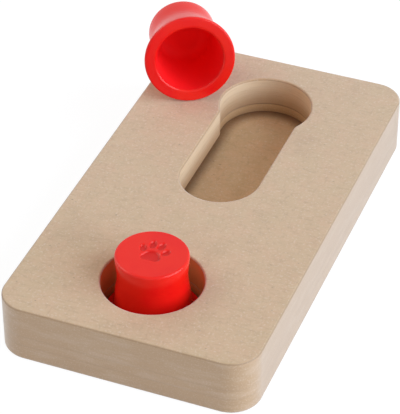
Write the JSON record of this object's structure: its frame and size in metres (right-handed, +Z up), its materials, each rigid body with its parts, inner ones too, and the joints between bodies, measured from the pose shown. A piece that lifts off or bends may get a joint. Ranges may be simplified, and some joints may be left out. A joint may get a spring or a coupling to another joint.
{
  "type": "pet puzzle feeder",
  "caption": "Layered wooden board with a round well and an undercut keyhole track, and loose flanged cups that hide treats for a dog to find.",
  "frame": {"origin": "centre of the board's underside", "axes": "+X across the board, +Y along it from the round well towards the keyhole's wide end, +Z up"},
  "size_m": [0.127, 0.22, 0.0718],
  "materials": {
    "fibreboard": "medium density fibreboard, sanded, eased edges, matt",
    "red_plastic": "moulded bright red plastic, glossy"
  },
  "bodies": {
    "board": {"base_board": "fibreboard", "channel_board": "fibreboard", "top_board": "fibreboard"},
    "front_cup": {"front_cup": "red_plastic"},
    "rear_cup": {"rear_cup": "red_plastic"}
  },
  "joints": [
    {"name": "front_cup_lift", "type": "slide", "parent": "board", "child": "front_cup", "axis": [0, 0, 1], "range_m": [0, 0.08]},
    {"name": "rear_cup_lift", "type": "slide", "parent": "board", "child": "rear_cup", "axis": [0, 0, 1], "range_m": [0, 0.08]}
  ]
}
